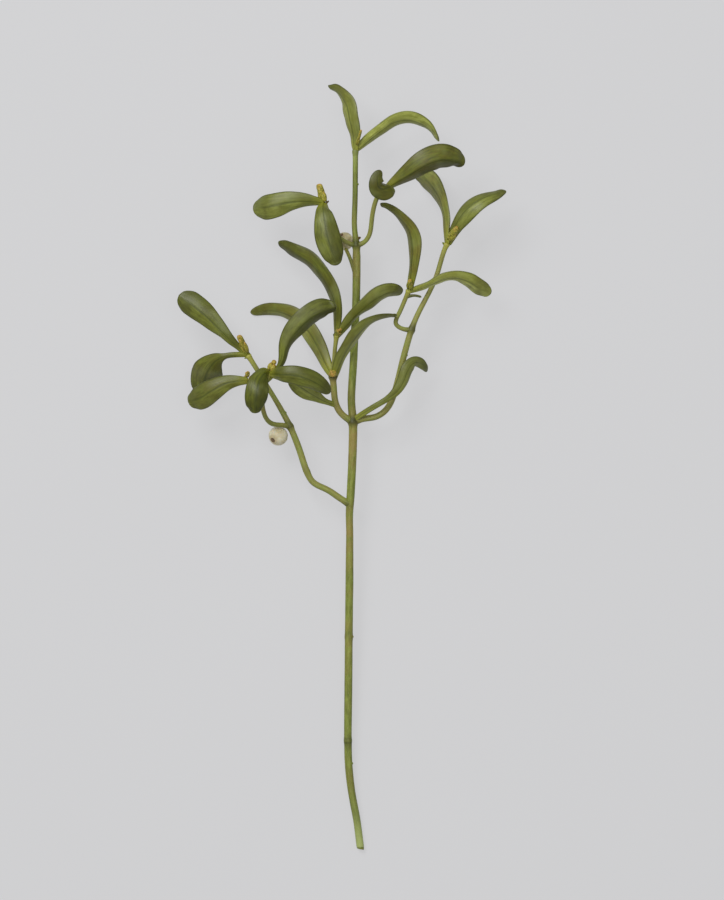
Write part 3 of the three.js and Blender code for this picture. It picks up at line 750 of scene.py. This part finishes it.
def stem_path(name):
    """Fine points along a stem with their radius, distance and paint marks.

    A branch's start at its root, the main stem's at its tip.
    """
    middles, radii = lines[name]
    rooted = name in roots
    if rooted:
        middles, radii = from_root(name)
        middles = np.vstack([roots[name][0], middles])
        radii = np.concatenate([[radii[0]], radii])
    knots = lengths_along(middles)
    count = max(FEWEST_POINTS, int(knots[-1] / STEM_STEP))
    places = np.linspace(0, knots[-1], count)
    points = smooth(knots, middles, places)
    thick = STEM_FULLNESS * eased(knots, radii, places)
    joint, shade_and_dark_bark = np.zeros(count), np.zeros(count)
    onward = 1 if rooted else -1
    for place, rise in joints_of(knots, radii):
        away = onward * (places - place)
        joint = np.maximum(joint, min(1.0, 3.0 * rise / MM) * bump(away, DIRT_REACH))
        # Painted shade on the stretch just past a joint, in the crotch.
        shade_and_dark_bark = np.maximum(shade_and_dark_bark, min(1.0, 2.4 * rise / MM - 0.2) * bump(away - SHADE_SHIFT, SHADE_REACH))
        thick = thick - RING_DEPTH * bump(away, RING_REACH)
    for root, host in roots.values():
        if host == name:
            place = places[np.argmin(np.linalg.norm(points - root, axis=1))]
            # Painted shade on the host where a branch forks off.
            shade_and_dark_bark = np.maximum(shade_and_dark_bark, FORK_SHADE * bump(places - place, FORK_SHADE_REACH))
    if rooted:
        # Painted shade where the branch meets its host.
        shade_and_dark_bark = np.maximum(shade_and_dark_bark, ROOT_SHADE * bump(places, ROOT_SHADE_REACH))
        thick = thick + FLARE * bump(places - FLARE_PLACE, FLARE_REACH)
    tender = bump(places[-1] - places, TENDER_REACH) if rooted else np.zeros(count)
    if name == "right_stub":
        shade_and_dark_bark, tender = np.full(count, 0.8), np.zeros(count)
    return points, thick, places, joint, shade_and_dark_bark, tender


# Browned stretches of the main stem: share of its length from the tip, how far each way, how strong.
BROWN = ((0.165, 0.03, 0.8), (0.417, 0.036, 1.0), (0.551, 0.04, 0.75), (0.9, 0.03, 0.4))
# Its darker stretches, the same way.
DARK = (
    (0.07, 0.035, 0.4), (0.205, 0.014, 0.35), (0.35, 0.025, 0.35), (0.8405, 0.002, 0.6), (0.8465, 0.002, 0.8),
    (0.847, 0.008, 0.4), (0.93, 0.045, 0.2),
)


def stem_piece(name):
    points, thick, places, joint, shade_and_dark_bark, tender = stem_path(name)
    ends = np.minimum(places[-1] - places, END_ROUND) / END_ROUND
    thick = thick * np.sqrt(np.clip(1 - (1 - ends) ** 2, 0.03, 1))
    share = places / places[-1]
    pale, brown = np.full(len(places), BRANCH_PALE), np.full(len(places), BRANCH_BROWN)
    if name == "main_stem":
        pale = np.maximum(bump(places[-1] - places, CUT_PALE_REACH), 0.4 * bump(places, TIP_PALE_REACH))
        brown = stretches(BROWN, share)
        shade_and_dark_bark = np.maximum(shade_and_dark_bark, stretches(DARK, share))
    chain = [(i, i + 1) for i in range(len(points) - 1)]
    marks = dict(thick=thick, along=places, joint=joint, shade_and_dark_bark=shade_and_dark_bark, tender=tender, pale=pale, brown=brown)
    path = marked_mesh(name + "_path", points, chain, [], marks)
    sides = STEM_SIDES if name == "main_stem" else BRANCH_SIDES
    piece = STEM_SKIN.make(name + "_bark", path, Sides=sides, Wrinkle=WRINKLE, Material=BARK)
    facing_out(piece)
    dress(piece, "stem", name)


for name in stem_names:
    stem_piece(name)


# ---- Leaves ----
LEAF_ROWS = 72
HALF_COLUMNS = 24
# On the upper side a groove over the midrib and a ridge half way out, below a keel, in millimetres.
RIB_GROOVE, SIDE_RIDGE, RIB_KEEL = 0.24, 0.05, 0.16
# How far a blade's edge, sides and whole width ripple, in millimetres.
EDGE_RIPPLE, SIDE_RIPPLE, WHOLE_RIPPLE = 0.34, 0.2, 0.16
# A foot narrower than this has no blade yet, and one this much wider has all of it.
BLADE_START, BLADE_RUN = 1.3 * MM, 1.6 * MM
# Veins and ripples fade where a tip is narrower than this.
TIP_RUN = 2.5 * MM
# A foot is no wider and no thicker than these shares of its stem.
FOOT_WIDTH, FOOT_DEPTH = 1.15, 0.7
# Over 1, the rows lie closer toward the tip.
TIP_CROWDING = 1.7
# Each leaf's lightness and how far it has browned.
TONES = {
    "top_leaf_left": (0.39, 0.15), "top_leaf_right": (0.85, 0.1), "upper_right_leaf_long": (0.06, 0.3),
    "upper_right_leaf_short": (0.08, 0.2), "right_leaf_inner": (0.29, 0.4), "right_leaf_outer": (0.25, 0.1),
    "right_leaf_tall": (0.16, 0.4), "right_leaf_low": (0.85, 0.2), "top_left_leaf_outer": (0.32, 0.1),
    "top_left_leaf_inner": (0.13, 0.1), "middle_leaf_upper_left": (0.06, 0.2),
    "middle_leaf_upper_right": (0.4, 0.2), "middle_leaf_lower_left": (0.38, 0.4),
    "middle_leaf_lower_right": (0.5, 0.2), "left_leaf_crossing": (0.11, 0.1), "left_leaf_right": (0.13, 0.1),
    "left_leaf_front": (0.03, 0.1), "left_leaf_outer": (0.18, 0.2), "left_leaf_drooping": (0.1, 0.2),
    "left_leaf_upper": (0.16, 0.1), "middle_leaf_hidden": (0.4, 0.1), "right_leaf_stalked": (0.27, 0.1),
}
# A leaf whose foot passes close by another stem belongs to the one named here.
OWN_STEM = {"right_leaf_stalked": "main_stem", "right_leaf_low": "right_side_twig"}


def leaf_frame(name):
    """Midrib, the two half widths as vectors and the half thickness, from the foot to the tip."""
    tip, loops = sections(name)
    widest = loops[np.argmax([np.linalg.norm(loop - loop.mean(axis=0), axis=1).max() for loop in loops])]
    half = SECTION_CORNERS // 2
    spans = [np.linalg.norm(widest[i] - widest[i + half]) for i in range(half)]
    edge = int(np.argmax(spans))
    quarter = half // 2
    up, down = (edge + quarter) % SECTION_CORNERS, (edge + quarter + half) % SECTION_CORNERS
    if widest[up][2] < widest[down][2]:
        up, down = down, up
    loops = loops[::-1]
    middles = (loops[:, up] + loops[:, down]) / 2
    thick = (loops[:, up] - loops[:, down]) / 2
    left = loops[:, edge] - middles
    right = loops[:, (edge + half) % SECTION_CORNERS] - middles
    own = OWN_STEM.get(name)
    others = [stem for stem in stem_names if own and stem != own] + ["right_stub"]
    spot, stem_radius = joined_at(middles[0], unit(middles[0] - middles[1]), others)[:2]
    foot = min(1.0, FOOT_WIDTH * stem_radius / np.linalg.norm(left[0]))
    flesh = min(1.0, FOOT_DEPTH * stem_radius / np.linalg.norm(thick[0]))
    middles = np.vstack([spot, middles, tip])
    thick = np.vstack([thick[0] * flesh, thick, thick[-1]])
    left = np.vstack([left[0] * foot, left, left[-1]])
    right = np.vstack([right[0] * foot, right, right[-1]])
    return middles, left, right, thick


def half_width(knots, half, places):
    """A blade's half width as a vector: its way is smooth and its square eases to nothing at the tip."""
    size = np.linalg.norm(half, axis=1) ** 2
    size[-1] = 0
    way = unit(smooth(knots, unit(half), places))
    return way * np.sqrt(np.maximum(eased(knots, size, places), 0))[:, None]


def vein_height(across, side):
    """How far the blade's skin stands out at its veins, in millimetres."""
    if side < 0:
        return RIB_KEEL * bump(across, 0.12)
    return -RIB_GROOVE * bump(across, 0.07) + SIDE_RIDGE * bump(abs(across) - 0.42, 0.1)


def ripple_height(across, share, waves, phases):
    """How far the blade waves up, in millimetres. Its two sides wave apart."""
    size = abs(across)
    ahead, turns = (1.5, 1) if across > 0 else (0, 2)
    ripple = EDGE_RIPPLE * size * size * math.sin(9 * waves[0] * share + phases[0] + ahead)
    ripple += SIDE_RIPPLE * size * math.sin(17 * waves[1] * share + phases[1] * turns)
    ripple += WHOLE_RIPPLE * math.sin(12 * waves[2] * share + phases[2])
    return ripple


def blade_lines(name):
    """Along a leaf: shares of length, midrib, half widths, up way, half thickness, mean half width, tip."""
    middles, left, right, thick = leaf_frame(name)
    knots = lengths_along(middles)
    run = np.linspace(0, 1, LEAF_ROWS + 1)[:-1]
    shares = 1 - (1 - run) ** TIP_CROWDING
    places = shares * knots[-1]
    rib = smooth(knots, middles, places)
    left, right = half_width(knots, left, places), half_width(knots, right, places)
    deep = np.linalg.norm(thick, axis=1)
    deep[-1] = 0.25 * deep[-2]
    up = unit(smooth(knots, unit(thick), places))
    span = 0.5 * (np.linalg.norm(left, axis=1) + np.linalg.norm(right, axis=1))
    deep = np.minimum(eased(knots, deep, places), 0.5 * span + 0.02 * MM)
    return shares, rib, left, right, up, deep, span, middles[-1]


def leaf_piece(name, seed):
    """A closed blade round the leaf's midrib, in loops that go over the top and back below."""
    rng = np.random.default_rng(seed)
    shares, rib, left, right, up, deep, span, tip = blade_lines(name)
    blade = np.clip((span - BLADE_START) / BLADE_RUN, 0, 1)
    blade = blade * blade * (3 - 2 * blade)
    near_tip = np.clip(span / TIP_RUN, 0, 1)
    fold = -0.5 * ((left + right) * up).sum(axis=1)
    steep = np.abs(fold) / np.maximum(span, 1e-9)
    # A steep fold stays sharp and a shallow one is round.
    roundness = np.clip(1.0 - 1.3 * steep, 0.1, 0.6)
    waves = rng.uniform(0.6, 1.4, 4)
    phases = rng.uniform(0, 2 * math.pi, 4)
    stations = np.sin(np.linspace(-math.pi / 2, math.pi / 2, HALF_COLUMNS + 1))
    loop = [(across, 1) for across in stations[:-1]] + [(across, -1) for across in stations[::-1][:-1]]
    points, coords, uppers = [], [], []
    for row in range(LEAF_ROWS):
        share = shares[row]
        # The section goes from an ellipse at the foot to a flat blade with a blunt edge.
        bluntness = 2 + 7 * blade[row]
        for across, side in loop:
            size = abs(across)
            place = rib[row] + (right[row] if across > 0 else left[row]) * size
            lift = fold[row] * roundness[row] * (size - size * size)
            body = (1 - size ** bluntness) ** 0.5 if size < 1 else 0.0
            height = deep[row] * body * (1 - 0.35 * blade[row] * size)
            height += MM * vein_height(across, side) * blade[row] * near_tip[row] * (1 - share ** 3) * body
            lift += MM * ripple_height(across, share, waves, phases) * blade[row] * near_tip[row]
            points.append(place + up[row] * (lift + side * height))
            coords.append((across, share, phases[3]))
            uppers.append(0.5 if size > 0.999 else (1.0 if side > 0 else 0.0))
    points += [rib[0], tip]
    coords += [(0, 0, phases[3]), (0, 1, phases[3])]
    uppers += [0.5, 0.5]
    tone, warmth = (np.full(len(points), value) for value in TONES[name])
    faces = tube_faces(LEAF_ROWS, len(loop))
    marks = {"blade": coords, "upper": uppers, "tone": tone, "warmth": warmth}
    piece = piece_from(name + "_blade", points, faces, LEAF, **marks)
    facing_out(piece)
    dress(piece, "leaf", name)


for index, name in enumerate(leaf_names):
    leaf_piece(name, 100 + index)


# ---- Buds ----
SHAPE_ROWS, SHAPE_COLUMNS = 12, 14
# A cluster's closed tip: its share of a pair's step, its width, how far it opens and stands out, its orange.
TIP_STEP, TIP_WIDTH, TIP_LEAN, TIP_OUT, TIP_WARMER = 0.6, 0.72, 0.1, 0.14, 0.2
# How much narrower each pair gets, and how far out it stands.
PAIR_NARROWER, PAIR_OUT = 0.12, 0.24
# A cluster's first pair starts this far under its solid, but no deeper in the stem than this.
SINK, DEEPEST = 0.8 * MM, -0.3 * MM


def blunt_shape(name, narrow, cup, material):
    """A blunt scale, a unit long along +Z: narrow at its foot and cupped round +Y."""
    points, tips = [], []
    for row in range(SHAPE_ROWS):
        share = (row + 0.3) / (SHAPE_ROWS - 0.4)
        wide = 0.5 * (narrow + (1 - narrow) * math.sin(min(1, share / 0.6) * math.pi / 2))
        wide *= math.sqrt(max(0.02, 1 - max(0, (share - 0.35) / 0.66) ** 2))
        for column in range(SHAPE_COLUMNS):
            angle = 2 * math.pi * column / SHAPE_COLUMNS
            x = wide * math.cos(angle)
            y = 0.7 * wide * math.sin(angle) + cup * (x * x + 0.3 * share * share)
            points.append((x, y, share))
            tips.append(share)
    points += [(0, 0, 0), (0, 0.3 * cup, 1.0)]
    tips += [0, 1]
    shape = piece_from(name, points, tube_faces(SHAPE_ROWS, SHAPE_COLUMNS), material, tip=tips)
    facing_out(shape)
    return shape


def turn_towards(aim, inward):
    """The angle about aim that brings a shape's +Y to face inward, once +Z is swung onto aim."""
    swing = Vector((0, 0, 1)).rotation_difference(Vector(aim))
    local = swing.inverted() @ Vector(inward)
    return math.atan2(-local.x, local.y)


SCALE_SHAPE = blunt_shape("bud_scale_shape", 0.6, 0.5, SCALE)


def bud_piece(name, seed, pairs, lean, warm, plump, long):
    """Crossed pairs of scales from the joint outward, each pair a cup for the next, and a closed tip."""
    rng = np.random.default_rng(seed)
    mesh = joined_node(name)
    corners = corners_of(mesh)
    mesh.free()
    middle = corners.mean(axis=0)
    foot = nearest_on_stems(middle, ["right_stub"])[1]
    way = unit(middle - foot)
    heights = (corners - foot) @ way
    reach = heights.max()
    start = max(DEEPEST, heights.min() - SINK)
    flat = corners - foot - heights[:, None] * way
    wide = np.percentile(np.linalg.norm(flat - flat.mean(axis=0), axis=1), 80)
    foot = foot + 0.8 * flat.mean(axis=0)
    side = sideways(way)
    other = np.cross(side, way)
    places, aims, turns, sizes, warms = [], [], [], [], []
    span = reach - start
    steps = pairs + TIP_STEP
    for pair in range(pairs + 1):
        closed = pair == pairs
        level = start + span * (pair / steps)
        angle = pair * math.pi / 2 + 0.5
        length = min(span * long / steps, reach - level)
        width = wide * plump * (TIP_WIDTH if closed else 1.0 - PAIR_NARROWER * pair)
        for sign in (-1, 1):
            out = sign * (math.cos(angle) * side + math.sin(angle) * other)
            bend = (TIP_LEAN if closed else lean) * rng.uniform(0.8, 1.2)
            aim = unit(way + bend * out)
            places.append(foot + way * level + (TIP_OUT if closed else PAIR_OUT) * width * out)
            aims.append(aim)
            turns.append(turn_towards(aim, -out) + rng.uniform(-0.2, 0.2))
            sizes.append((width, width, length * rng.uniform(0.92, 1.0)))
            warms.append(min(1.0, warm + (TIP_WARMER if closed else 0.0)))
    marks = {"aim": aims, "turn": turns, "size": sizes, "warm": warms}
    source = marked_mesh(name + "_points", places, [], [], marks)
    piece = SET_SHAPES.make(name + "_scales", source, Shape=SCALE_SHAPE, Material=SCALE)
    dress(piece, "bud", name)


# A cluster's pairs of scales, how far they open, how orange, how plump and how long they are.
BUDS = {
    "buds_top": (3, 0.06, 0.1, 1.1, 1.9), "buds_top_left": (3, 0.15, 0.1, 2.6, 2.2),
    "buds_right": (3, 0.08, 0.05, 2.2, 2.4), "buds_right_side": (2, 0.1, 0.0, 1.7, 1.9),
    "buds_middle_upper": (2, 0.25, 0.1, 1.8, 1.8), "buds_middle_lower": (3, 0.42, 0.12, 1.6, 1.8),
    "buds_left": (3, 0.14, 0.15, 2.0, 2.2), "buds_left_side": (1, 0.15, 0.2, 3.2, 1.15),
    "buds_left_short": (2, 0.6, 0.2, 1.7, 1.6),
}
for index, name in enumerate(bud_names):
    bud_piece(name, 300 + index, *BUDS[name])
bpy.data.objects.remove(SCALE_SHAPE)


# ---- Nubs ----
# Stem, share of its length from its root, side (1 right, -1 left), how far it stands out and its width
# in millimetres, and how far it leans toward the stem's tip.
DRY_NUBS = (("top_left_twig", 0.97, 1, 1.3, 1.2, 0.5), ("main_stem", 0.873, 1, 1.1, 1.8, 0.3))
BARK_NUBS = (
    ("main_stem", 0.123, 1, 0.45, 2.4, 0.1), ("main_stem", 0.305, 1, 0.35, 2.2, 0.1),
    ("main_stem", 0.951, 1, 0.4, 2.2, 0.1),
    ("left_branch", 0.6, 1, 0.3, 2.0, 0.1), ("right_branch", 0.41, 1, 0.3, 2.0, 0.1),
    ("left_branch", 0.985, -1, 0.9, 1.2, 0.2), ("right_branch", 0.985, -1, 1.1, 1.3, 0.3),
)


def nub_piece(name, nubs, material):
    shape = blunt_shape(name + "_shape", 0.9, 0.0, material)
    places, aims, sizes = [], [], []
    for stem, share, side, length, width, rise in nubs:
        middles, radii = from_root(stem)
        knots = lengths_along(middles)
        place = share * knots[-1]
        spot, further = smooth(knots, middles, np.array([place, place + 0.5 * MM]))
        way = unit(further - spot)
        out = side * sideways(way)
        thick = np.interp(place, knots, radii)
        places.append(spot + out * 0.3 * thick)
        aims.append(unit(out + rise * way + 0.15 * UP))
        sizes.append((width * MM, width * MM, length * MM + 0.7 * thick))
    marks = {"aim": aims, "turn": np.zeros(len(places)), "size": sizes}
    source = marked_mesh(name + "_points", places, [], [], marks)
    piece = SET_SHAPES.make(name, source, Shape=shape, Material=material)
    bpy.data.objects.remove(shape)
    dress(piece, "stem")


nub_piece("dry_nubs", DRY_NUBS, DRY)
nub_piece("bark_nubs", BARK_NUBS, BARK)


# ---- Berries ----
BERRY_ROWS, BERRY_COLUMNS = 56, 64
# Under 1, the rows lie closer toward the scar.
SCAR_CROWDING = 0.8
SCAR_RADIUS = 1.35 * MM
# How far the scar is turned up from its place on the frame's berry.
SCAR_LIFT = 0.5


def sphere_of(corners):
    """The middle and radius of the ball that most corners lie on."""
    kept = corners
    for _ in range(3):
        table = np.hstack([2 * kept, np.ones((len(kept), 1))])
        answer = np.linalg.lstsq(table, (kept ** 2).sum(axis=1), rcond=None)[0]
        centre = answer[:3]
        radius = math.sqrt(answer[3] + centre @ centre)
        off = np.abs(np.linalg.norm(corners - centre, axis=1) - radius)
        kept = corners[off < max(0.05 * MM, np.percentile(off, 60))]
    return centre, radius


def skin_height(near, angle, turn):
    """How far a berry's skin stands out, as a share of its radius. near is 1 at the scar's rim."""
    lobes = 0.004 * math.sin(3 * turn + 1) * math.sin(angle)
    drawn_in = 0.02 * bump(near, 1.9)
    rim = 0.012 * bump(near - 1.08, 0.28)
    hollow = 0.012 * (near < 0.9) * (1 + 0.35 * math.cos(4 * turn))
    style = 0.03 * bump(near, 0.22)
    return lobes + (rim - drawn_in - hollow + style)


def berry_piece(name, material):
    """A ball with three faint lobes, a little drawn in round its hollow scar."""
    mesh = joined_node(name)
    centre, radius = sphere_of(corners_of(mesh))
    poles = [np.array(v.co) for v in mesh.verts if len(v.link_edges) == BERRY_CORNERS]
    mesh.free()
    pole = min(poles, key=lambda p: np.linalg.norm(p - centre))
    way = unit(unit(pole - centre) + SCAR_LIFT * UP)
    side = sideways(way)
    other = np.cross(way, side)
    scar_angle = math.asin(SCAR_RADIUS / radius)
    points, scars = [], []
    for row in range(BERRY_ROWS):
        share = (row + 0.5) / BERRY_ROWS
        angle = math.pi * (1 - share ** SCAR_CROWDING)
        near = angle / scar_angle
        for column in range(BERRY_COLUMNS):
            turn = 2 * math.pi * column / BERRY_COLUMNS
            size = radius * (1 + skin_height(near, angle, turn))
            out = side * math.cos(turn) + other * math.sin(turn)
            points.append(centre + size * (way * math.cos(angle) + out * math.sin(angle)))
            scars.append(near)
    points += [centre - way * radius, centre + way * radius * 0.99]
    scars += [math.pi / scar_angle, 0.0]
    faces = tube_faces(BERRY_ROWS, BERRY_COLUMNS)
    piece = piece_from(name + "_skin", points, faces, material, scar=scars)
    facing_out(piece)
    dress(piece, "berry", name)


berry_piece("berry_left", BERRY_PALE)
berry_piece("berry_top", BERRY_SHADED)


# ---- The cut end ----
CUT_ROWS, CUT_COLUMNS = 10, 40
# Along the stem: the middle of the hidden side, where the rim starts, the face, and its middle.
CUT_HIDDEN, CUT_ROOT, CUT_HEIGHT, CUT_MIDDLE = -0.5 * MM, -0.3 * MM, 0.28 * MM, 0.3 * MM
# The face's roughness, its slope across and its width against the stem's.
CUT_ROUGH, CUT_SLOPE, CUT_WIDTH = 0.05 * MM, -0.35, 1.01


def cut_end():
    """The pale face of the slanting cut, in rings across the stem."""
    middles, radii = from_root("main_stem")
    way = unit(middles[0] - middles[2])
    side = sideways(way)
    other = np.cross(side, way)
    rng = np.random.default_rng(7)
    points, radius = [], []
    for row in range(CUT_ROWS):
        share = 1 - row / CUT_ROWS
        for column in range(CUT_COLUMNS):
            turn = 2 * math.pi * column / CUT_COLUMNS
            out = side * math.cos(turn) + other * math.sin(turn)
            rough = rng.uniform(-CUT_ROUGH, CUT_ROUGH) * (share < 1)
            slope = CUT_SLOPE * share * math.cos(turn) * radii[0]
            height = CUT_HEIGHT + slope + rough if row else CUT_ROOT
            points.append(middles[0] + out * share * radii[0] * CUT_WIDTH + way * height)
            radius.append(share)
    points += [middles[0] + way * CUT_HIDDEN, middles[0] + way * CUT_MIDDLE]
    radius += [1.0, 0.0]
    piece = piece_from("cut_face", points, tube_faces(CUT_ROWS, CUT_COLUMNS), CUT, radius=radius)
    facing_out(piece)
    dress(piece, "stem")


cut_end()


# ---- Floor, light and camera ----
FLOOR_HALF = 4.0
FLOOR_GLOW = 0.515
SKY_STRENGTH = 0.3
# Each soft light's place, width and power.
SOFT_LIGHTS = (((-0.6, 0.9, 1.5), 0.9, 24.0), ((0.2, 0.1, 2.4), 1.4, 12.0))


def floor_and_light():
    glow = {"Emission_Strength": FLOOR_GLOW, "Emission_Color": (0.985, 0.985, 1.0, 1.0)}
    paint = Finish("pale floor", Roughness=0.9, Specular_IOR_Level=0.0, **glow)
    grain = paint.noise(paint.place(), 8.0, 2.0)
    paint.feed("Base Color", paint.blend(grain, srgb(98, 98, 99), srgb(101, 101, 102)))
    corners = [(x * FLOOR_HALF, y * FLOOR_HALF, 0) for x, y in ((-1, -1), (1, -1), (1, 1), (-1, 1))]
    floor = piece_from("floor", corners, [(0, 1, 2, 3)], paint.material)
    world = bpy.data.worlds.new("studio")
    world.use_nodes = True
    sky = world.node_tree.nodes["Background"]
    sky.inputs["Color"].default_value = (1.0, 1.0, 1.0, 1.0)
    sky.inputs["Strength"].default_value = SKY_STRENGTH
    scene.world = world
    for place, size, watts in SOFT_LIGHTS:
        light = bpy.data.lights.new("softbox", "AREA")
        light.shape = "SQUARE"
        light.size = size
        light.energy = watts
        holder = placed("softbox", light)
        holder.location = place
        holder.rotation_euler = (-Vector(place)).to_track_quat("-Z", "Y").to_euler()


def camera():
    """Straight above, a long way off, a little right of the sprig's middle and toward its tip."""
    height = 3.0
    sharp_level = 0.022
    view_length = 0.405
    right, tipward = 9.1 * MM, 8.1 * MM
    lens = bpy.data.cameras.new("camera")
    lens.sensor_width = 36.0
    lens.lens = lens.sensor_width * (height - sharp_level) / view_length
    holder = placed("camera", lens)
    low, high = cad_box
    middle = (low + high) / 2
    holder.location = (middle.x + right, middle.y + tipward, height)
    scene.camera = holder


floor_and_light()
camera()
scene.view_settings.view_transform = "Standard"
